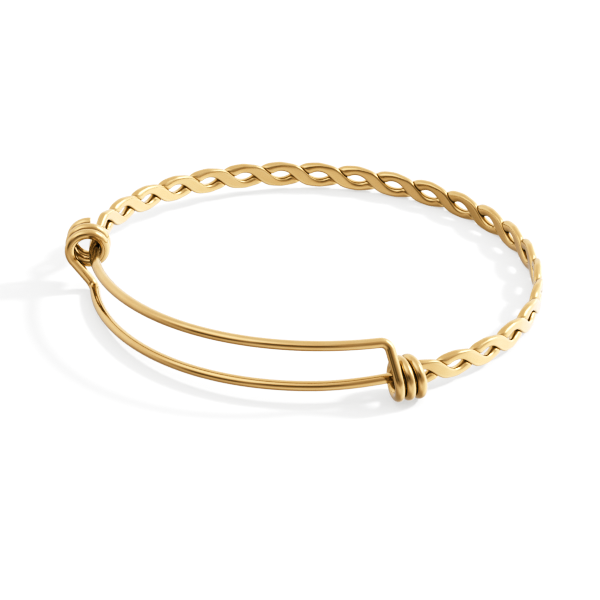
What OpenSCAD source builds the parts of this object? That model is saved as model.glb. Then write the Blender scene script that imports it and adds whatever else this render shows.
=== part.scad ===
// Bangle that widens by sliding. A flattened twist of two strands runs round the back, two round wires
// run across the front, and at each end of the twist one wire is coiled round the other.
// Millimetres. The loop lies on its side on the floor, z = 0, with its front towards -Y.

/* [Loop] */
// middle radius of the loop, to the centre of the metal
loop_r = 30.4; // [29:0.1:33]
// how much wider than that the loop is from side to side, and how much flatter front to back
loop_oval = 1.1; // [0.5:0.1:1.5]
// direction of the loop's long axis, in degrees
oval_turn = 1; // [-5:0.5:5]

/* [Twist] */
// distance along the loop from one open eye of the twist to the next
eye_step = 5.79; // [5.7:0.01:5.85]
// azimuth of the first eye, at the left end, in degrees
first_eye = 166.5; // [166:0.1:167.5]
// height of a strand's swing above and below the middle of the twist
swing_z = 1.2; // [1.15:0.005:1.3]
// swing of a strand towards the wearer and away
swing_out = 0.3; // [0.25:0.01:0.4]
// half height of a strand where it bows round an eye
bow_half = 0.555; // [0.45:0.005:0.6]
// half height of a strand where it crosses the other one
cross_half = 1.2; // [1:0.01:1.25]
// half depth a strand would have if the twist were not rolled flat
round_half = 1.06; // [0.9:0.01:1.1]
// thickness of the flattened twist, from inner face to outer face
twist_thick = 1.31; // [1.2:0.01:1.4]
// gap between the two strands where they cross
strand_gap = 0.2; // [0.18:0.01:0.24]

/* [Wires] */
// diameter of the round wire
wire_d = 1.42; // [1.3:0.01:1.44]
// height of the upper front wire over the middle of the loop
upper_z = 4.1; // [3.9:0.05:4.3]
// height of the lower front wire, below the middle of the loop
lower_z = -2.35; // [-2.5:0.05:-2.2]
// how far both wires bulge outward beside the left coil
left_bulge = 0.65; // [0.3:0.05:0.8]
// radius of the sharp bend ahead of each coil
bend_r = 1.35; // [1:0.05:1.4]

/* [Coils] */
// radius of the coils, to the centre of the wire
coil_r = 2.5; // [2.5:0.01:2.6]
// advance of a coil in one turn
coil_step = 1.47; // [1.46:0.01:1.6]
// azimuth of the bend ahead of the left coil, in degrees
left_bend = 181; // [180.5:0.1:182]
// azimuth of the bend ahead of the right coil, in degrees
right_bend = -71.6; // [-72:0.1:-71]
// angle of the left coil from the loop's outer side to its cut tip, in degrees
left_wrap = 815; // [790:5:825]
// angle of the right coil from the loop's outer side to its cut tip, in degrees
right_wrap = 830; // [815:5:850]
// how far the left coil sits outward of the wire inside it
left_out = 0.97; // [0.8:0.01:0.98]
// how far the right coil sits outward of the wire inside it
right_out = 0.72; // [0.6:0.01:0.8]

/* [Resting] */
// angle by which the loop leans back, in degrees
lean_back = 2.42; // [2:0.01:3]
// angle by which the loop leans to the left, in degrees
lean_left = 0.43; // [0:0.01:1]

/* [Hidden] */
gold = [0.83, 0.62, 0.29];
eye_count = 22;
wire_sides = 12;
strand_sides = 12;
eye_parts = 8;
coil_part = 18;
front_part = 3;
bend_parts = 6;
wire_r = wire_d / 2;
last_eye = (eye_count - 1) * eye_step;
// the strands run this far past the first and last eye, into the coils, and stop swinging within this
// share of an eye's length
left_tail = 4.4;
right_tail = 3.9;
tail_share = 0.41;
// clear length between a strand's end and the wire that it meets, in degrees round the loop
join_gap = 0.25;
// azimuth and width, in degrees, of the outward bulge beside the left coil
bulge_at = -183.5;
bulge_wide = 25.75;
// height of the twist at the back, each run's tilt and bow across the loop, and its right end's lift
twist_z = -0.665;
twist_tilt = 2.35;
twist_bow = 1.12;
twist_lift = 0.2;
upper_tilt = 0.35;
upper_bow = -0.49;
lower_tilt = 0.6;
lower_bow = 0.325;
lower_lift = 0.25;
// height of each coil's middle over the wire inside it, and the length from the right bend to its coil
left_up = -0.17;
right_up = 0.13;
right_lead = 0.65;

// Loop: points are given by azimuth, distance outward of the loop's line, and height.
function ease(t) = let (u = min(max(t, 0), 1)) u * u * (3 - 2 * u);
function unit(v) = v / norm(v);
function front_side(a) = a > 60 ? a - 360 : a;
function bulge(a) = left_bulge * exp(-pow((front_side(a) - bulge_at) / bulge_wide, 2));
function loop_at(a) = loop_r + loop_oval * cos(2 * (a - oval_turn)) + bulge(a);
function spot(a, out, z) = [(loop_at(a) + out) * cos(a), (loop_at(a) + out) * sin(a), z];
// length along the loop from the first eye, and the azimuth at such a length
function length_to(a) = (first_eye - a) * PI / 180 * loop_r
    + loop_oval / 2 * (sin(2 * (first_eye - oval_turn)) - sin(2 * (a - oval_turn)));
function azimuth_at(s, a, tries = 5) =
    tries == 0 ? a : azimuth_at(s, a + (length_to(a) - s) / loop_r * 180 / PI, tries - 1);

// Heights: the twist sinks from the left coil to the right coil, and each wire joins it at one end.
function twist_height(a) = let (t = (a - 60) / 100)
    twist_z + twist_tilt * t + twist_bow * t * t + twist_lift * ease((-30 - a) / 30);
function upper_height(a) = let (t = (a + 110) / 60, joined = ease((-175 - a) / 13))
    (upper_z + upper_tilt * t + upper_bow * t * t) * (1 - joined) + twist_height(a + 360) * joined;
function lower_height(a) = let (t = (a + 110) / 60, joined = ease((a + 72) / 6))
    (lower_z + lower_tilt * t + lower_bow * t * t + lower_lift * ease((a + 92) / 25)) * (1 - joined)
    + twist_height(a) * joined;

// Strands: a flattened oval swings up and down, is cut off along the line where it meets the other
// strand, and is rolled flat on the inner and outer faces. Its ends run into the coils half round.
function end_share(s) = ease(max(-s, s - last_eye) / (tail_share * eye_step));
function held(s) = min(max(s, -eye_step / 2), last_eye + eye_step / 2);
function strand_ring(s, turned) =
    let (w = end_share(s), q = 180 * held(s) / eye_step + turned, side = -sin(q), up = cos(q),
        tall = bow_half + (cross_half - bow_half) * side * side,
        half_z = tall * (1 - w) + wire_r * w, half_out = round_half * (1 - w) + wire_r * w,
        mid_out = swing_out * side * (1 - w), mid_z = swing_z * up * (1 - w),
        a = azimuth_at(s, first_eye - s / loop_r * 180 / PI), base = twist_height(a))
    [for (k = [0:strand_sides - 1])
        let (f = 360 * (k + 0.5) / strand_sides,
            out = mid_out + half_out * cos(f), z = mid_z + half_z * sin(f),
            push = max(strand_gap / 2 - out * side - z * up, 0),
            flat = min(max(out + push * side, -twist_thick / 2), twist_thick / 2))
        spot(a, flat, base + z + push * up)];
function strand_rings(turned) = concat(
    [strand_ring(-left_tail, turned)],
    [for (i = [-5:(eye_count - 1) * eye_parts + 5]) strand_ring(eye_step * i / eye_parts, turned)],
    [strand_ring(last_eye + right_tail, turned)]);

// Wires: a run across the front, a sharp bend, and a coil that starts on the loop's outer side.
function coil_spot(toward, a, out, z, q) = spot(a, out + coil_r * cos(q), z - toward * coil_r * sin(q));
function right_coil(q) =
    let (a = right_bend + (right_lead + coil_step * q / 360) / loop_r * 180 / PI)
    coil_spot(1, a, right_out, lower_height(a) + right_up, q);
function left_coil(q) =
    let (a = left_bend - 360 - coil_step * q / 360 / loop_r * 180 / PI)
    coil_spot(-1, a, left_out, upper_height(a) + left_up, q);
// angle at which a straight run from the bend touches the coil
function touch_angle(out, z) = atan2(z, out) + acos(coil_r / norm([out, z]));
function round_off(before, at, after) =
    let (u = unit(before - at), v = unit(after - at), half = acos(u * v) / 2,
        start = at + u * bend_r / tan(half), middle = at + unit(u + v) * bend_r / sin(half),
        turn = 180 - 2 * half, x = unit(start - middle),
        y = unit(at + v * bend_r / tan(half) - middle - x * (bend_r * cos(turn))))
    [for (i = [0:bend_parts]) let (f = turn * i / bend_parts) middle + bend_r * (cos(f) * x + sin(f) * y)];
function joined_path(run, at, coil) =
    let (reach = bend_r / tan(acos(unit(run[len(run) - 1] - at) * unit(coil[0] - at)) / 2) + 0.3)
    concat([for (p = run) if (norm(p - at) > reach) p], round_off(run[len(run) - 1], at, coil[0]), coil);
function upper_path() =
    let (start = azimuth_at(-left_tail, first_eye) - 360 + join_gap,
        n = ceil((right_bend - start) / front_part),
        first = touch_angle(-right_out, lower_height(right_bend) + right_up - upper_height(right_bend)),
        turns = ceil((right_wrap - first) / coil_part))
    joined_path(
        [for (i = [0:n - 1]) let (a = start + (right_bend - start) * i / n) spot(a, 0, upper_height(a))],
        spot(right_bend, 0, upper_height(right_bend)),
        [for (i = [0:turns]) right_coil(first + (right_wrap - first) * i / turns)]);
function lower_path() =
    let (start = azimuth_at(last_eye + right_tail, -66) - join_gap, bend = left_bend - 360,
        n = ceil((start - bend) / front_part),
        first = touch_angle(-left_out, lower_height(bend) - upper_height(bend) - left_up),
        turns = ceil((left_wrap - first) / coil_part))
    joined_path(
        [for (i = [0:n - 1]) let (a = start + (bend - start) * i / n) spot(a, 0, lower_height(a))],
        spot(bend, 0, lower_height(bend)),
        [for (i = [0:turns]) left_coil(first + (left_wrap - first) * i / turns)]);

// Sweeps: rings of points along a path, joined into one closed solid.
function heading(p, i) = unit(p[min(i + 1, len(p) - 1)] - p[max(i - 1, 0)]);
function sides_of(p, i, n) =
    let (t = heading(p, i), m = unit(n - (n * t) * t))
    i == len(p) - 1 ? [m] : concat([m], sides_of(p, i + 1, m));
function wire_rings(p) =
    let (m = sides_of(p, 0, [0, 0, 1]))
    [for (i = [0:len(p) - 1]) let (b = cross(heading(p, i), m[i]))
        [for (k = [0:wire_sides - 1]) let (f = 360 * k / wire_sides)
            p[i] + wire_r * (cos(f) * m[i] + sin(f) * b)]];

// Resting: the loop leans onto its coils, and its lowest spot is on the floor.
function leaned(p) =
    let (y = p.y * cos(lean_back) + p.z * sin(lean_back), z = p.z * cos(lean_back) - p.y * sin(lean_back))
    [p.x * cos(lean_left) - z * sin(lean_left), y, p.x * sin(lean_left) + z * cos(lean_left)];
function leaned_rings(rings) = [for (ring = rings) [for (p = ring) leaned(p)]];
function reach(n) =
    [for (rings = [first_rings, second_rings, upper_rings, lower_rings], ring = rings, p = ring) p[n]];
function middle(n) = let (all = reach(n)) (min(all) + max(all)) / 2;
first_rings = leaned_rings(strand_rings(0));
second_rings = leaned_rings(strand_rings(180));
upper_rings = leaned_rings(wire_rings(upper_path()));
lower_rings = leaned_rings(wire_rings(lower_path()));
rest = [-middle(0), -middle(1), -min(reach(2))];

module sweep(rings) {
    n = len(rings[0]);
    last = (len(rings) - 1) * n;
    polyhedron(
        points = [for (ring = rings) for (p = ring) p + rest],
        faces = concat(
            [[for (k = [0:n - 1]) k]],
            [for (i = [0:n:last - n], k = [0:n - 1]) [i + k, i + n + k, i + n + (k + 1) % n]],
            [for (i = [0:n:last - n], k = [0:n - 1]) [i + k, i + n + (k + 1) % n, i + (k + 1) % n]],
            [[for (k = [n - 1:-1:0]) last + k]]),
        convexity = 10);
}

module first_strand() {
    color(gold) sweep(first_rings);
}

module second_strand() {
    color(gold) sweep(second_rings);
}

module upper_wire() {
    color(gold) sweep(upper_rings);
}

module lower_wire() {
    color(gold) sweep(lower_rings);
}

first_strand();
second_strand();
upper_wire();
lower_wire();
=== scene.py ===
# Braided wire bangle in polished gold plate: a flattened open twist round the back, and two round
# wires across the front, each coiled round the other so that the bangle widens by sliding.
import math

import bpy
from mathutils import Matrix, Vector


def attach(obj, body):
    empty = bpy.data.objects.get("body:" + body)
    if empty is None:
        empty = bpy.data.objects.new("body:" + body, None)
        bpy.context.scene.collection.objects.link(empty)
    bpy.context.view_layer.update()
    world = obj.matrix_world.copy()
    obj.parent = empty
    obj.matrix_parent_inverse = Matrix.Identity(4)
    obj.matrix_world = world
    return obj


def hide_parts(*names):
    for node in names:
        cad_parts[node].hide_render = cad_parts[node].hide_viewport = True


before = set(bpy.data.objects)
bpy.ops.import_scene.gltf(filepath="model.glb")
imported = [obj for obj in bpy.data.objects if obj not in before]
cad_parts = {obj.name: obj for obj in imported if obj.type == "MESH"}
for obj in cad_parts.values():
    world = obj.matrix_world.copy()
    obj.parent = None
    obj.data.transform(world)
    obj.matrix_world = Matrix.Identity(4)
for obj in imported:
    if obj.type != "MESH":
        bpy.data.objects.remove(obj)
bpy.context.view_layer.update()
mm = 0.001
print("frame loaded with", ", ".join(sorted(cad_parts)))


# The loop that every piece follows, in millimetres and degrees. Azimuth 0 is to the right and -90 to
# the front, in the loop's own plane, before it leans onto its coils. It bulges a little beside the
# left coil; past the seam an azimuth is taken one turn back, to meet the bulge from the other side.
loop = {
    "radius": 30.4,
    "oval": 1.1,
    "ovalTurn": 1,
    "bulge": 0.65,
    "bulgeAt": -183.5,
    "bulgeWide": 25.75,
    "bulgeSeam": 60,
    "leanBack": 2.42,
    "leanLeft": 0.43,
    "restsAt": (2.0725, 0.78, 3.483),
}


def ease(share):  # a smooth rise from 0 to 1
    held = min(max(share, 0), 1)
    return held * held * (3 - 2 * held)


def loopRadius(azimuth):
    onFront = azimuth - 360 if azimuth > loop["bulgeSeam"] else azimuth
    bulge = loop["bulge"] * math.exp(-((onFront - loop["bulgeAt"]) / loop["bulgeWide"]) ** 2)
    oval = loop["oval"] * math.cos(math.radians(2 * (azimuth - loop["ovalTurn"])))
    return loop["radius"] + oval + bulge


def loopSpot(azimuth, outward, height):
    reach = loopRadius(azimuth) + outward
    turn = math.radians(azimuth)
    return Vector((reach * math.cos(turn), reach * math.sin(turn), height))


leaning = (Matrix.Rotation(math.radians(-loop["leanLeft"]), 3, "Y")
           @ Matrix.Rotation(math.radians(-loop["leanBack"]), 3, "X"))


def rested(spot):
    return (leaning @ spot + Vector(loop["restsAt"])) * mm


# The twist: two strands, half a turn apart, whose eyes are one step apart along the loop. Its height
# tilts and bows with the azimuth, and lifts a little towards the right coil. At both tails a strand
# narrows to the wire that it joins.
twist = {
    "eyeStep": 5.79,
    "firstEye": 166.5,
    "eyeCount": 22,
    "middle": -0.665,
    "middleAt": 60,
    "reach": 100,
    "tilt": 2.35,
    "bow": 1.12,
    "endLift": 0.2,
    "liftFrom": -30,
    "liftOver": 30,
    "leftTail": 4.4,
    "rightTail": 3.9,
    "leftEase": 0.6,
    "rightEase": 0.41,
    "swingUp": 1.255,
    "swingOut": 0.3,
    "bowHalf": 0.7,
    "crossHalf": 1.25,
    "crossPower": 1.4,
    "planeLag": 0.36,
    "bowRound": 0.85,
    "crossRound": 1.06,
    "thickness": 1.43,
    "strandGap": 0.02,
    "edgeSoftness": 0.8,
    "creaseSoftness": 0.35,
    "partsPerEye": 30,
    "sidesRound": 96,
}
lastEye = (twist["eyeCount"] - 1) * twist["eyeStep"]
settleRounds = 5  # enough for an azimuth to settle to far under a micron


def lengthTo(azimuth):
    turned = math.radians(twist["firstEye"] - azimuth)
    wave = [math.sin(math.radians(2 * (a - loop["ovalTurn"]))) for a in (twist["firstEye"], azimuth)]
    return turned * loop["radius"] + loop["oval"] / 2 * (wave[0] - wave[1])


def azimuthAt(length):
    azimuth = twist["firstEye"] - math.degrees(length / loop["radius"])
    for _ in range(settleRounds):
        azimuth += math.degrees((lengthTo(azimuth) - length) / loop["radius"])
    return azimuth


def twistHeight(azimuth):
    share = (azimuth - twist["middleAt"]) / twist["reach"]
    lift = twist["endLift"] * ease((twist["liftFrom"] - azimuth) / twist["liftOver"])
    return twist["middle"] + twist["tilt"] * share + twist["bow"] * share ** 2 + lift


# The two wires: each has a run across the front, a sharp bend and a coil round the other one. A run
# tilts and bows like the twist, and eases over to the twist's height where it joins a strand.
wires = {
    "diameter": 1.47,
    "middleAt": -110,
    "reach": 60,
    "upperHeight": 4.1,
    "upperTilt": 0.35,
    "upperBow": -0.49,
    "upperJoinFrom": -175,
    "upperJoinOver": 13,
    "lowerHeight": -2.35,
    "lowerTilt": 0.6,
    "lowerBow": 0.325,
    "lowerLift": 0.25,
    "lowerLiftFrom": -92,
    "lowerLiftOver": 25,
    "lowerJoinFrom": -72,
    "lowerJoinOver": 6,
    "bendRadius": 1.35,
    "bendClear": 0.3,
    "coilRadius": 2.5,
    "coilStep": 1.47,
    "leftBend": -179,
    "rightBend": -71.6,
    "leftWrap": 815,
    "rightWrap": 830,
    "leftOut": 0.97,
    "leftUp": -0.17,
    "rightOut": 0.72,
    "rightUp": 0.13,
    "rightLead": 0.65,
    "joinGap": 0.25,
    "runPart": 1,
    "coilPart": 5,
    "bendParts": 16,
    "tipRounding": 0.14,
    "tipAngles": (0, 15, 30, 45, 60, 75, 90),
    "sidesRound": 48,
}


def upperHeight(azimuth):
    share = (azimuth - wires["middleAt"]) / wires["reach"]
    joined = ease((wires["upperJoinFrom"] - azimuth) / wires["upperJoinOver"])
    free = wires["upperHeight"] + wires["upperTilt"] * share + wires["upperBow"] * share ** 2
    return free * (1 - joined) + twistHeight(azimuth + 360) * joined


def lowerHeight(azimuth):
    share = (azimuth - wires["middleAt"]) / wires["reach"]
    joined = ease((azimuth - wires["lowerJoinFrom"]) / wires["lowerJoinOver"])
    lift = wires["lowerLift"] * ease((azimuth - wires["lowerLiftFrom"]) / wires["lowerLiftOver"])
    free = wires["lowerHeight"] + wires["lowerTilt"] * share + wires["lowerBow"] * share ** 2 + lift
    return free * (1 - joined) + twistHeight(azimuth) * joined


def coilSpot(azimuth, outward, height, turned, direction):
    swing = math.radians(turned)
    reach = wires["coilRadius"]
    fallen = direction * reach * math.sin(swing)
    return loopSpot(azimuth, outward + reach * math.cos(swing), height - fallen)


def rightCoil(turned):
    ahead = wires["rightLead"] + wires["coilStep"] * turned / 360
    azimuth = wires["rightBend"] + math.degrees(ahead / loop["radius"])
    return coilSpot(azimuth, wires["rightOut"], lowerHeight(azimuth) + wires["rightUp"], turned, 1)


def leftCoil(turned):
    azimuth = wires["leftBend"] - math.degrees(wires["coilStep"] * turned / 360 / loop["radius"])
    return coilSpot(azimuth, wires["leftOut"], upperHeight(azimuth) + wires["leftUp"], turned, -1)


def touchAngle(outward, height):  # where a straight run from the bend meets the coil
    aside = math.acos(wires["coilRadius"] / math.hypot(outward, height))
    return math.degrees(math.atan2(height, outward) + aside)


def steps(first, last, step):  # even steps from first to last, none longer than step
    count = math.ceil(abs(last - first) / step)
    return [first + (last - first) * i / count for i in range(count + 1)]


def wirePath(run, corner, coil):  # the run and the coil, with a round bend of one radius between them
    before = (run[-1] - corner).normalized()
    after = (coil[0] - corner).normalized()
    half = before.angle(after) / 2
    radius = wires["bendRadius"]
    reach = radius / math.tan(half)
    middle = corner + (before + after).normalized() * radius / math.sin(half)
    across = (corner + before * reach - middle).normalized()
    turn = math.pi - 2 * half
    ahead = (corner + after * reach - middle - across * radius * math.cos(turn)).normalized()
    angles = [turn * i / wires["bendParts"] for i in range(wires["bendParts"] + 1)]
    bend = [middle + radius * (across * math.cos(a) + ahead * math.sin(a)) for a in angles]
    clearOfBend = [p for p in run if (p - corner).length > reach + wires["bendClear"]]
    return clearOfBend + bend + coil


def upperPath():
    bend = wires["rightBend"]
    start = azimuthAt(-twist["leftTail"]) - 360 + wires["joinGap"]
    first = touchAngle(-wires["rightOut"], lowerHeight(bend) + wires["rightUp"] - upperHeight(bend))
    run = [loopSpot(a, 0, upperHeight(a)) for a in steps(start, bend, wires["runPart"])[:-1]]
    coil = [rightCoil(q) for q in steps(first, wires["rightWrap"], wires["coilPart"])]
    return wirePath(run, loopSpot(bend, 0, upperHeight(bend)), coil)


def lowerPath():
    bend = wires["leftBend"]
    start = azimuthAt(lastEye + twist["rightTail"]) - wires["joinGap"]
    first = touchAngle(-wires["leftOut"], lowerHeight(bend) - upperHeight(bend) - wires["leftUp"])
    run = [loopSpot(a, 0, lowerHeight(a)) for a in steps(start, bend, wires["runPart"])[:-1]]
    coil = [leftCoil(q) for q in steps(first, wires["leftWrap"], wires["coilPart"])]
    return wirePath(run, loopSpot(bend, 0, lowerHeight(bend)), coil)


# Node trees, for shapes and for finishes.
def socketNamed(sockets, name):  # by identifier where several share a name
    return next((s for s in sockets if s.identifier == name), None) or sockets[name]


def addNode(tree, kind, inputs=(), **settings):
    node = tree.nodes.new(kind)
    for key, value in settings.items():
        setattr(node, key, value)
    for key, value in inputs.items() if isinstance(inputs, dict) else enumerate(inputs):
        socket = node.inputs[key] if isinstance(key, int) else socketNamed(node.inputs, key)
        if isinstance(value, bpy.types.NodeSocket):
            tree.links.new(value, socket)
        else:
            socket.default_value = value
    return node


def shapeTree(name, sockets):
    tree = bpy.data.node_groups.new(name, "GeometryNodeTree")
    tree.interface.new_socket("Geometry", in_out="OUTPUT", socket_type="NodeSocketGeometry")
    tree.interface.new_socket("Geometry", in_out="INPUT", socket_type="NodeSocketGeometry")
    for label, kind in sockets.items():
        tree.interface.new_socket(label, in_out="INPUT", socket_type="NodeSocket" + kind)
    given = addNode(tree, "NodeGroupInput").outputs
    return tree, given, addNode(tree, "NodeGroupOutput")


def finishShape(tree, mesh, material, output):
    smooth = addNode(tree, "GeometryNodeSetShadeSmooth", {"Geometry": mesh})
    real = addNode(tree, "GeometryNodeRealizeInstances", [smooth.outputs[0]])
    coloured = addNode(tree, "GeometryNodeSetMaterial", {
        "Geometry": real.outputs[0], "Material": material})
    tree.links.new(coloured.outputs[0], output.inputs[0])


def guideLine(name, spots, marks):  # a line of points with values that the node trees read
    mesh = bpy.data.meshes.new(name)
    mesh.from_pydata([rested(p) for p in spots], [(i, i + 1) for i in range(len(spots) - 1)], [])
    for mark, values in marks.items():
        isVector = isinstance(values[0], Vector)
        attribute = mesh.attributes.new(mark, "FLOAT_VECTOR" if isVector else "FLOAT", "POINT")
        flat = [n for v in values for n in v] if isVector else values
        attribute.data.foreach_set("vector" if isVector else "value", flat)
    guide = bpy.data.objects.new(name, mesh)
    bpy.context.scene.collection.objects.link(guide)
    return guide


def shapedPiece(name, guide, tree, values):
    modifier = guide.modifiers.new("shape", "NODES")
    modifier.node_group = tree
    for item in tree.interface.items_tree:
        if item.in_out == "INPUT" and item.name in values:
            modifier[item.identifier] = values[item.name]
    evaluated = guide.evaluated_get(bpy.context.evaluated_depsgraph_get())
    mesh = bpy.data.meshes.new_from_object(evaluated)
    guide.modifiers.remove(modifier)
    bpy.data.objects.remove(guide)
    mesh.name = name
    piece = bpy.data.objects.new(name, mesh)
    bpy.context.scene.collection.objects.link(piece)
    print(name, "has", len(mesh.polygons), "faces")
    return piece


# A strand's section, worked out point by point. Each row: name, operation, values. The oval swings up
# and down with the phase, is pushed back from the plane where it meets the other strand, and is
# rolled flat inside and outside. The soft operations round the edges that this leaves.
sectionSteps = (
    ("sine", "SINE", "phase"),
    ("side", "MULTIPLY", "sine", -1),
    ("up", "COSINE", "phase"),
    ("steepness", "MULTIPLY", "side", "side"),
    ("crossExtra", "SUBTRACT", "Cross Half", "Bow Half"),
    ("crossing", "POWER", "steepness", "Cross Power"),
    ("tall", "MULTIPLY_ADD", "crossExtra", "crossing", "Bow Half"),
    ("free", "SUBTRACT", 1, "tail"),
    ("tailRadius", "MULTIPLY", "tail", "Wire Radius"),
    ("halfUp", "MULTIPLY_ADD", "tall", "free", "tailRadius"),
    ("roundExtra", "SUBTRACT", "Cross Round", "Bow Round"),
    ("round", "MULTIPLY_ADD", "roundExtra", "crossing", "Bow Round"),
    ("halfOut", "MULTIPLY_ADD", "round", "free", "tailRadius"),
    ("swingOut", "MULTIPLY", "Swing Out", "free"),
    ("swingUp", "MULTIPLY", "Swing Up", "free"),
    ("middleOut", "MULTIPLY", "swingOut", "side"),
    ("middleUp", "MULTIPLY", "swingUp", "up"),
    ("aroundCosine", "COSINE", "around"),
    ("aroundSine", "SINE", "around"),
    ("ovalOut", "MULTIPLY_ADD", "aroundCosine", "halfOut", "middleOut"),
    ("ovalUp", "MULTIPLY_ADD", "aroundSine", "halfUp", "middleUp"),
    ("halfGap", "MULTIPLY", "Gap", 0.5),
    ("doubled", "MULTIPLY", "phase", 2),
    ("swing", "SINE", "doubled"),
    ("lagging", "MULTIPLY", "swing", "Plane Lag"),
    ("planePhase", "SUBTRACT", "phase", "lagging"),
    ("planeSine", "SINE", "planePhase"),
    ("planeSide", "MULTIPLY", "planeSine", -1),
    ("planeUp", "COSINE", "planePhase"),
    ("sideways", "MULTIPLY", "ovalOut", "planeSide"),
    ("overPlane", "MULTIPLY_ADD", "ovalUp", "planeUp", "sideways"),
    ("short", "SUBTRACT", "halfGap", "overPlane"),
    ("push", "SMOOTH_MAX", "short", 0, "Crease Softness"),
    ("pushedOut", "MULTIPLY_ADD", "push", "planeSide", "ovalOut"),
    ("pushedUp", "MULTIPLY_ADD", "push", "planeUp", "ovalUp"),
    ("outerFace", "MULTIPLY", "Thickness", 0.5),
    ("innerFace", "MULTIPLY", "Thickness", -0.5),
    ("rolledOuter", "SMOOTH_MIN", "pushedOut", "outerFace", "Edge Softness"),
    ("rolled", "SMOOTH_MAX", "rolledOuter", "innerFace", "Edge Softness"),
)


def markedLine(tree, given):  # the guide line, with the length along it kept for the finish
    line = addNode(tree, "GeometryNodeMeshToCurve", [given["Geometry"]])
    along = addNode(tree, "GeometryNodeSplineParameter").outputs["Length"]
    return addNode(tree, "GeometryNodeStoreNamedAttribute", {
        "Geometry": line.outputs[0], "Name": "along", "Value": along}, data_type="FLOAT").outputs[0]


def markedCircle(tree, sides, radius):  # the section, with each point's place on it kept for the finish
    circle = addNode(tree, "GeometryNodeCurvePrimitiveCircle", {"Resolution": sides, "Radius": radius})
    rim = addNode(tree, "GeometryNodeInputPosition").outputs[0]
    return addNode(tree, "GeometryNodeStoreNamedAttribute", {
        "Geometry": circle.outputs[0], "Name": "rim", "Value": rim}, data_type="FLOAT_VECTOR").outputs[0]


def strandTree():
    sizes = ("Swing Up", "Swing Out", "Bow Half", "Cross Half", "Bow Round", "Cross Round", "Thickness",
             "Gap", "Edge Softness", "Crease Softness", "Wire Radius", "Cross Power", "Plane Lag")
    tree, given, output = shapeTree("flattenedStrand", {**{size: "Float" for size in sizes},
                                                        "Sides": "Int", "Material": "Material"})
    place = addNode(tree, "GeometryNodeInputPosition")
    kept = addNode(tree, "GeometryNodeStoreNamedAttribute", {
        "Geometry": markedLine(tree, given), "Name": "centre", "Value": place.outputs[0]},
        data_type="FLOAT_VECTOR")
    count = addNode(tree, "GeometryNodeInputIndex")
    turned = addNode(tree, "ShaderNodeMath", [count.outputs[0], given["Sides"]], operation="DIVIDE")
    angle = addNode(tree, "ShaderNodeMath", [turned.outputs[0], 2 * math.pi], operation="MULTIPLY")
    profile = addNode(tree, "GeometryNodeStoreNamedAttribute", {
        "Geometry": markedCircle(tree, given["Sides"], mm), "Name": "around", "Value": angle.outputs[0]},
        data_type="FLOAT")
    swept = addNode(tree, "GeometryNodeCurveToMesh", {
        "Curve": kept.outputs[0], "Profile Curve": profile.outputs[0], "Fill Caps": True})
    known = {size: given[size] for size in sizes}
    for mark in ("phase", "tail", "around"):
        known[mark] = addNode(tree, "GeometryNodeInputNamedAttribute", {"Name": mark}).outputs[0]
    for name, operation, *values in sectionSteps:
        values = [known.get(value, value) for value in values]
        known[name] = addNode(tree, "ShaderNodeMath", values, operation=operation).outputs[0]
    marks = {}
    for mark in ("centre", "outward", "upward"):
        marks[mark] = addNode(tree, "GeometryNodeInputNamedAttribute", {"Name": mark},
                              data_type="FLOAT_VECTOR").outputs[0]
    outPart = addNode(tree, "ShaderNodeVectorMath", {
        "Vector": marks["outward"], "Scale": known["rolled"]}, operation="SCALE")
    upPart = addNode(tree, "ShaderNodeVectorMath", {
        "Vector": marks["upward"], "Scale": known["pushedUp"]}, operation="SCALE")
    offset = addNode(tree, "ShaderNodeVectorMath", [outPart.outputs[0], upPart.outputs[0]],
                     operation="ADD")
    spot = addNode(tree, "ShaderNodeVectorMath", [marks["centre"], offset.outputs[0]],
                   operation="ADD")
    shaped = addNode(tree, "GeometryNodeSetPosition", {
        "Geometry": swept.outputs[0], "Position": spot.outputs[0]})
    finishShape(tree, shaped.outputs[0], given["Material"], output)
    return tree


def wireTree():
    tree, given, output = shapeTree("drawnWire", {
        "Radius": "Float", "Sides": "Int", "Material": "Material"})
    tip = addNode(tree, "GeometryNodeInputNamedAttribute", {"Name": "tipShare"})
    swept = addNode(tree, "GeometryNodeCurveToMesh", {
        "Curve": markedLine(tree, given),
        "Profile Curve": markedCircle(tree, given["Sides"], given["Radius"]),
        "Scale": tip.outputs[0], "Fill Caps": True})
    finishShape(tree, swept.outputs[0], given["Material"], output)
    return tree


def strandPiece(name, halfTurn, tree, material):
    step = twist["eyeStep"]
    upward = leaning @ Vector((0, 0, 1))
    spots = []
    marks = {"phase": [], "tail": [], "outward": [], "upward": []}
    for length in steps(-twist["leftTail"], lastEye + twist["rightTail"], step / twist["partsPerEye"]):
        azimuth = azimuthAt(length)
        turn = math.radians(azimuth)
        held = min(max(length, -step / 2), lastEye + step / 2)  # the twisting stops half an eye out
        beyond = max(-length / twist["leftEase"], (length - lastEye) / twist["rightEase"])
        spots.append(loopSpot(azimuth, 0, twistHeight(azimuth)))
        marks["phase"].append(math.radians(180 * held / step + halfTurn))
        marks["tail"].append(ease(beyond / step))
        marks["outward"].append(leaning @ Vector((math.cos(turn), math.sin(turn), 0)))
        marks["upward"].append(upward)
    guide = guideLine(name + "_guide", spots, marks)
    return shapedPiece(name, guide, tree, {
        "Swing Up": twist["swingUp"] * mm, "Swing Out": twist["swingOut"] * mm,
        "Bow Half": twist["bowHalf"] * mm, "Cross Half": twist["crossHalf"] * mm,
        "Bow Round": twist["bowRound"] * mm, "Cross Round": twist["crossRound"] * mm,
        "Thickness": twist["thickness"] * mm, "Gap": twist["strandGap"] * mm,
        "Edge Softness": twist["edgeSoftness"] * mm,
        "Crease Softness": twist["creaseSoftness"] * mm,
        "Cross Power": twist["crossPower"], "Plane Lag": twist["planeLag"],
        "Wire Radius": wires["diameter"] / 2 * mm,
        "Sides": twist["sidesRound"], "Material": material})


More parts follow.
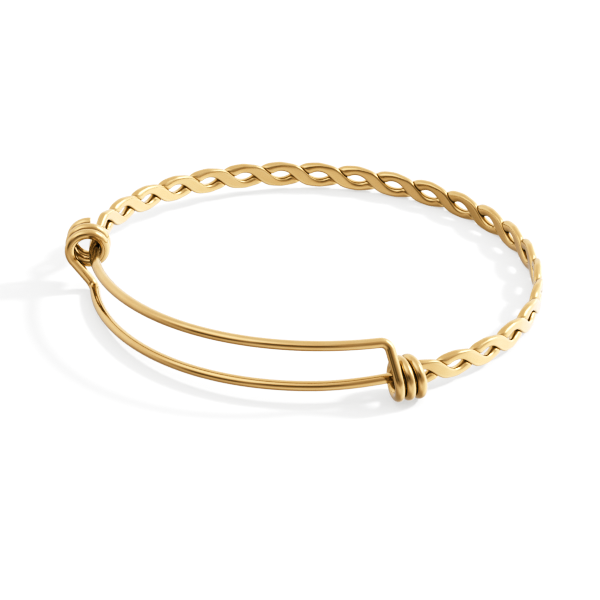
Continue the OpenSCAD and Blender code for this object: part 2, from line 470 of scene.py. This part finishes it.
def wirePiece(name, path, tree, material):  # the coil's cut tip has a small round edge
    rounding = wires["tipRounding"]
    heading = (path[-1] - path[-2]).normalized()
    tip = path[-1]
    path = [p for p in path if (p - tip).length > rounding]
    shares = [1.0] * len(path)
    for angle in wires["tipAngles"]:
        swing = math.radians(angle)
        path.append(tip - heading * rounding * (1 - math.sin(swing)))
        shares.append(1 - (1 - math.cos(swing)) * rounding / (wires["diameter"] / 2))
    guide = guideLine(name + "_guide", path, {"tipShare": shares})
    return shapedPiece(name, guide, tree, {
        "Radius": wires["diameter"] / 2 * mm, "Sides": wires["sidesRound"], "Material": material})


# Finishes. Colours are sRGB, turned to linear here by the sRGB curve.
def toLinear(hexColour):
    parts = [int(hexColour[i:i + 2], 16) / 255 for i in (1, 3, 5)]
    return [p / 12.92 if p <= 0.04045 else ((p + 0.055) / 1.055) ** 2.4 for p in parts] + [1.0]


# Gold plate on brass, buffed on a wheel and lacquered: a warm mirror whose rims the clear lacquer pales.
# The creases, found by an ambient occlusion test, are drawn dark brown as painted shade, and are
# rougher where the wheel doesn't reach. Gold seen in gold is drawn less red. Real die and roll lines
# are some 0.02 mm wide: here they are 0.3 mm wide, so that they show. Lengths are in millimetres.
goldPlate = {
    "colour": "#F4D2A6",
    "deepColour": "#ECC696",
    "mirroredColour": "#C4BAA4",
    "roughness": 0.1,
    "coat": 0.5,
    "coatRoughness": 0.08,
    # Painted shade: the dark brown that the creases are drawn in.
    "paintedCreaseShadeColour": "#76562C",
    "creaseRoughness": 0.4,
    "creaseReach": 0.45,
    "creaseFrom": 0.08,
    "creaseTo": 0.36,
    "creaseSamples": 8,
    "hollowSize": 2.4,
    "hollowDetail": 1.0,
    "lineWidth": 0.3,
    "lineLength": 6,
    "lineDetail": 2.0,
    "lineLow": 0.3,
    "lineHigh": 0.7,
    # A painted highlight: the pale colour on the four long edges, and how far it reaches.
    "paintedEdgeHighlightColour": "#FFE8BE",
    "paintedEdgeHighlightFrom": 0.42,
    "paintedEdgeHighlightTo": 0.5,
}
# Wire drawn through a die is even and round: a clean mirror with faint lines along it.
drawnWire = {
    **goldPlate,
    "colour": "#F6D5A9",
    "deepColour": "#EFC99B",
    "coat": 0.6,
    "paintedEdgeHighlight": 0,
    "hollowDepth": 0.006,
    "lineDepth": 0.0012,
    "roughnessSpread": 0.04,
}
# Strands twisted and rolled flat by hand are a little uneven, so their reflections waver and are
# softer. Their four long edges are drawn in a pale colour, as a painted highlight.
rolledStrand = {
    **goldPlate,
    "paintedEdgeHighlight": 0.25,
    "hollowDepth": 0.016,
    "lineDepth": 0.0016,
    "roughnessSpread": 0.07,
}


def goldMaterial(name, look):
    material = bpy.data.materials.new(name)
    material.use_nodes = True
    tree = material.node_tree
    tree.nodes.clear()
    place = addNode(tree, "ShaderNodeTexCoord").outputs["Object"]
    hollows = addNode(tree, "ShaderNodeTexNoise", {
        "Vector": place, "Scale": 1 / (look["hollowSize"] * mm),
        "Detail": look["hollowDetail"]}).outputs[0]
    rim = addNode(tree, "ShaderNodeAttribute", attribute_name="rim").outputs["Vector"]
    along = addNode(tree, "ShaderNodeAttribute", attribute_name="along").outputs["Fac"]
    acrossLines = addNode(tree, "ShaderNodeVectorMath", {
        "Vector": rim, "Scale": 1 / (look["lineWidth"] * mm)}, operation="SCALE").outputs[0]
    alongLines = addNode(tree, "ShaderNodeMath", [along, 1 / (look["lineLength"] * mm)],
                         operation="MULTIPLY").outputs[0]
    shift = addNode(tree, "ShaderNodeCombineXYZ", {"Z": alongLines}).outputs[0]
    spot = addNode(tree, "ShaderNodeVectorMath", [acrossLines, shift], operation="ADD").outputs[0]
    lines = addNode(tree, "ShaderNodeTexNoise", {
        "Vector": spot, "Scale": 1.0, "Detail": look["lineDetail"]}).outputs[0]
    # Painted shade: an ambient occlusion test finds the creases, which are drawn in the crease colour
    # and made rougher.
    openness = addNode(tree, "ShaderNodeAmbientOcclusion", {"Distance": look["creaseReach"] * mm},
                       samples=look["creaseSamples"])
    polishedAndUnshaded = addNode(tree, "ShaderNodeMapRange", {
        "Value": openness.outputs["AO"], "From Min": look["creaseFrom"], "From Max": look["creaseTo"]},
        interpolation_type="SMOOTHSTEP").outputs[0]
    plate = addNode(tree, "ShaderNodeMix", {
        "Factor_Float": hollows, "A_Color": toLinear(look["colour"]),
        "B_Color": toLinear(look["deepColour"])}, data_type="RGBA")
    corner = addNode(tree, "ShaderNodeSeparateXYZ", [rim])
    edge = addNode(tree, "ShaderNodeMath", [corner.outputs["X"], corner.outputs["Y"]],
                   operation="MULTIPLY").outputs[0]
    nearEdge = addNode(tree, "ShaderNodeMath", [edge], operation="ABSOLUTE").outputs[0]
    # Painted highlight: the four long edges of a section, where both of the rim's coordinates are large,
    # are drawn paler.
    paintedEdgeHighlight = addNode(tree, "ShaderNodeMapRange", {
        "Value": nearEdge, "From Min": look["paintedEdgeHighlightFrom"] * mm * mm, "From Max": look["paintedEdgeHighlightTo"] * mm * mm,
        "To Max": look["paintedEdgeHighlight"]}, interpolation_type="SMOOTHSTEP").outputs[0]
    edgeLightened = addNode(tree, "ShaderNodeMix", {
        "Factor_Float": paintedEdgeHighlight, "A_Color": socketNamed(plate.outputs, "Result_Color"),
        "B_Color": toLinear(look["paintedEdgeHighlightColour"])}, data_type="RGBA")
    bounces = addNode(tree, "ShaderNodeLightPath").outputs["Ray Depth"]
    mirrored = addNode(tree, "ShaderNodeMath", [bounces, 1], operation="MINIMUM").outputs[0]
    seen = addNode(tree, "ShaderNodeMix", {
        "Factor_Float": mirrored, "A_Color": socketNamed(edgeLightened.outputs, "Result_Color"),
        "B_Color": toLinear(look["mirroredColour"])}, data_type="RGBA")
    # The painted crease shade is mixed in here.
    colour = addNode(tree, "ShaderNodeMix", {
        "Factor_Float": polishedAndUnshaded, "A_Color": toLinear(look["paintedCreaseShadeColour"]),
        "B_Color": socketNamed(seen.outputs, "Result_Color")}, data_type="RGBA")
    sheen = addNode(tree, "ShaderNodeMapRange", {
        "Value": lines, "From Min": look["lineLow"], "From Max": look["lineHigh"],
        "To Min": look["roughness"], "To Max": look["roughness"] + look["roughnessSpread"]}).outputs[0]
    roughness = addNode(tree, "ShaderNodeMapRange", {
        "Value": polishedAndUnshaded, "To Min": look["creaseRoughness"], "To Max": sheen}).outputs[0]
    uneven = addNode(tree, "ShaderNodeBump", {
        "Height": hollows, "Distance": look["hollowDepth"] * mm}).outputs[0]
    lined = addNode(tree, "ShaderNodeBump", {
        "Height": lines, "Distance": look["lineDepth"] * mm, "Normal": uneven}).outputs[0]
    surface = addNode(tree, "ShaderNodeBsdfPrincipled", {
        "Base Color": socketNamed(colour.outputs, "Result_Color"), "Metallic": 1.0,
        "Roughness": roughness, "Normal": lined,
        "Coat Weight": look["coat"], "Coat Roughness": look["coatRoughness"]})
    addNode(tree, "ShaderNodeOutputMaterial", [surface.outputs[0]])
    return material


rolledPlate = goldMaterial("rolledGoldPlate", rolledStrand)
drawnPlate = goldMaterial("drawnGoldPlate", drawnWire)
strandShape = strandTree()
wireShape = wireTree()
pieces = {
    "first_strand": strandPiece("first_strand_rolled", 0, strandShape, rolledPlate),
    "second_strand": strandPiece("second_strand_rolled", 180, strandShape, rolledPlate),
    "upper_wire": wirePiece("upper_wire_drawn", upperPath(), wireShape, drawnPlate),
    "lower_wire": wirePiece("lower_wire_drawn", lowerPath(), wireShape, drawnPlate),
}
for node, piece in pieces.items():
    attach(piece, "root")
    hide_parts(node)
print("pieces made:", ", ".join(pieces))

# The floor is white paper board, pressed and uncoated: even and dull, with no glare. Its glow stands
# for the light of a white room. The metal mirrors the studio below the horizon instead of the floor.
floorLook = {"colour": "#B0B0B0", "roughness": 0.9, "specular": 0.0, "glow": 0.47, "half": 2.0}


def paperFloor():
    half = floorLook["half"]
    mesh = bpy.data.meshes.new("floor")
    corners = [(-half, -half, 0), (half, -half, 0), (half, half, 0), (-half, half, 0)]
    mesh.from_pydata(corners, [], [(0, 1, 2, 3)])
    floor = bpy.data.objects.new("floor", mesh)
    bpy.context.scene.collection.objects.link(floor)
    floor.visible_glossy = False
    paper = bpy.data.materials.new("whitePaperBoard")
    paper.use_nodes = True
    surface = paper.node_tree.nodes["Principled BSDF"]
    surface.inputs["Base Color"].default_value = toLinear(floorLook["colour"])
    surface.inputs["Roughness"].default_value = floorLook["roughness"]
    surface.inputs["Specular IOR Level"].default_value = floorLook["specular"]
    surface.inputs["Emission Color"].default_value = (1, 1, 1, 1)
    surface.inputs["Emission Strength"].default_value = floorLook["glow"]
    mesh.materials.append(paper)


paperFloor()

# The photo's own view, in degrees and millimetres, about the loop's plane. The nearest is in metres.
view = {
    "elevation": 29.33,
    "roll": 0.26,
    "distance": 472.5,
    "aim": (-2.67, -9.18, 0),
    "lens": 200.93,
    "sensor": 36,
    "nearest": 0.01,
}


def viewCamera():
    tip = math.radians(view["elevation"])
    ahead = Vector((0, math.cos(tip), -math.sin(tip)))
    right = Vector((1, 0, 0))
    above = Vector((0, math.sin(tip), math.cos(tip)))
    roll = math.radians(view["roll"])
    turnedRight = right * math.cos(roll) + above * math.sin(roll)
    turnedUp = above * math.cos(roll) - right * math.sin(roll)
    axes = [leaning @ axis for axis in (turnedRight, turnedUp, -ahead)]
    camera = bpy.data.cameras.new("camera")
    camera.lens = view["lens"]
    camera.sensor_width = view["sensor"]
    camera.clip_start = view["nearest"]
    holder = bpy.data.objects.new("camera", camera)
    bpy.context.scene.collection.objects.link(holder)
    place = Matrix(axes).transposed().to_4x4()
    place.translation = rested(Vector(view["aim"]) - ahead * view["distance"])
    holder.matrix_world = place
    bpy.context.scene.camera = holder


viewCamera()

# The key lamp throws the shadows and the fill lamp softens them. Sizes and places are in metres.
keyLamp = {"azimuth": 17, "elevation": 36, "distance": 1.0, "size": 0.14, "power": 10.0}
fillLamp = {"height": 1.2, "size": 1.2, "power": 3.0}
# The metal mirrors this studio: an even room, with bright panels and dimmer places in it. Angles are in
# degrees: turn 0 is to the right and -90 towards the camera, tip is above the floor. Wide and high
# are half sizes, soft is the width of an edge, and a shade's gain is the share of light that it takes.
studio = {
    "below": 0.66,
    "above": 0.69,
    "heights": (-0.5, 0.32),
    "panels": {
        "litFloor": {"turn": 30, "tip": -16, "wide": 53, "high": 50, "soft": 70, "gain": 0.52},
        "leftPanel": {"turn": -154, "tip": 50, "wide": 21, "high": 20, "soft": 24, "gain": 0.36},
        "rightWall": {"turn": -7, "tip": 39, "wide": 32, "high": 21, "soft": 27, "gain": 0.34},
        "keyPanel": {"turn": 6, "tip": 40, "wide": 17, "high": 12, "soft": 8, "gain": 1.6},
        "backWall": {"turn": 125, "tip": 22, "wide": 40, "high": 16, "soft": 25, "gain": 0.12},
        "lowPanel": {"turn": 50, "tip": 0, "wide": 13, "high": 13, "soft": 9, "gain": 0.5},
        "nearFloor": {"turn": -77, "tip": -31, "wide": 31, "high": 20, "soft": 24, "gain": 0.068},
    },
    "shades": {
        "farFloor": {"turn": -152, "tip": -31, "wide": 26, "high": 20, "soft": 32, "gain": -0.1},
        "doorway": {"turn": -138, "tip": 2, "wide": 13, "high": 10, "soft": 10, "gain": -0.5},
        "cameraSide": {"turn": -100, "tip": 25, "wide": 17, "high": 12, "soft": 12, "gain": -0.55},
        "darkRoom": {"turn": -118, "tip": 10, "wide": 48, "high": 22, "soft": 34, "gain": -0.5},
        "dimFront": {"turn": -40, "tip": 30, "wide": 31, "high": 32, "soft": 20, "gain": -0.38},
        "underLeft": {"turn": 147, "tip": -66, "wide": 44, "high": 39, "soft": 40, "gain": -0.4},
    },
}


def discLamp(name, place, size, power):
    data = bpy.data.lights.new(name, "AREA")
    data.shape = "DISK"
    data.size = size
    data.energy = power
    lamp = bpy.data.objects.new(name, data)
    bpy.context.scene.collection.objects.link(lamp)
    lamp.location = place
    lamp.rotation_euler = place.to_track_quat("Z", "Y").to_euler()
    lamp.visible_glossy = False


def lampObjects():
    turn = math.radians(keyLamp["azimuth"])
    rise = math.radians(keyLamp["elevation"])
    toward = Vector((math.cos(rise) * math.cos(turn), math.cos(rise) * math.sin(turn), math.sin(rise)))
    discLamp("keyLamp", toward * keyLamp["distance"], keyLamp["size"], keyLamp["power"])
    discLamp("fillLamp", Vector((0, 0, fillLamp["height"])), fillLamp["size"], fillLamp["power"])


def panelShare(tree, direction, panel):  # 1 inside a soft-edged rectangle of directions, 0 outside
    swung = addNode(tree, "ShaderNodeVectorRotate", {
        "Vector": direction, "Angle": math.radians(-panel["turn"])}, rotation_type="Z_AXIS")
    level = addNode(tree, "ShaderNodeVectorRotate", {
        "Vector": swung.outputs[0], "Angle": math.radians(panel["tip"])}, rotation_type="Y_AXIS")
    parts = addNode(tree, "ShaderNodeSeparateXYZ", [level.outputs[0]]).outputs
    across = addNode(tree, "ShaderNodeMath", [parts[1], parts[0]], operation="ARCTAN2")
    upward = addNode(tree, "ShaderNodeMath", [parts[2]], operation="ARCSINE")
    shares = []
    for angle, half in ((across, panel["wide"]), (upward, panel["high"])):
        size = addNode(tree, "ShaderNodeMath", [angle.outputs[0]], operation="ABSOLUTE")
        share = addNode(tree, "ShaderNodeMapRange", {
            "Value": size.outputs[0], "From Min": math.radians(half + panel["soft"] / 2),
            "From Max": math.radians(half - panel["soft"] / 2)}, interpolation_type="SMOOTHSTEP")
        shares.append(share.outputs[0])
    return addNode(tree, "ShaderNodeMath", shares, operation="MULTIPLY").outputs[0]


def studioWorld():
    world = bpy.data.worlds.new("studio")
    bpy.context.scene.world = world
    world.use_nodes = True
    tree = world.node_tree
    tree.nodes.clear()
    direction = addNode(tree, "ShaderNodeTexCoord").outputs["Generated"]
    height = addNode(tree, "ShaderNodeSeparateXYZ", [direction]).outputs[2]
    low, top = studio["heights"]
    brightness = addNode(tree, "ShaderNodeMapRange", {
        "Value": height, "From Min": low, "From Max": top, "To Min": studio["below"],
        "To Max": studio["above"]}, interpolation_type="SMOOTHSTEP").outputs[0]
    for panel in studio["panels"].values():
        share = panelShare(tree, direction, panel)
        brightness = addNode(tree, "ShaderNodeMath", [share, panel["gain"], brightness],
                             operation="MULTIPLY_ADD").outputs[0]
    for shade in studio["shades"].values():
        share = panelShare(tree, direction, shade)
        kept = addNode(tree, "ShaderNodeMath", [share, shade["gain"], 1],
                       operation="MULTIPLY_ADD").outputs[0]
        brightness = addNode(tree, "ShaderNodeMath", [brightness, kept], operation="MULTIPLY").outputs[0]
    background = addNode(tree, "ShaderNodeBackground", {"Color": (1, 1, 1, 1), "Strength": brightness})
    addNode(tree, "ShaderNodeOutputWorld", [background.outputs[0]])


# The contrast of the finished picture. Each pair is a brightness before and after, on the curve for
# all colours and on the one for blue alone.
printLook = {
    "all": ((0.1, 0.03), (0.2, 0.11), (0.3, 0.25), (0.5, 0.57), (0.7, 0.8)),
    "blue": ((0.08, 0.052), (0.25, 0.25), (0.5, 0.5), (0.75, 0.75)),
}
printCurves = {"blue": 2, "all": 3}  # where Blender keeps them


def printCurve():
    settings = bpy.context.scene.view_settings
    settings.view_transform = "Standard"
    settings.use_curve_mapping = True
    for name, spots in printLook.items():
        for spot in spots:
            settings.curve_mapping.curves[printCurves[name]].points.new(*spot)
    settings.curve_mapping.update()


lampObjects()
studioWorld()
printCurve()
print("floor, camera and light set")
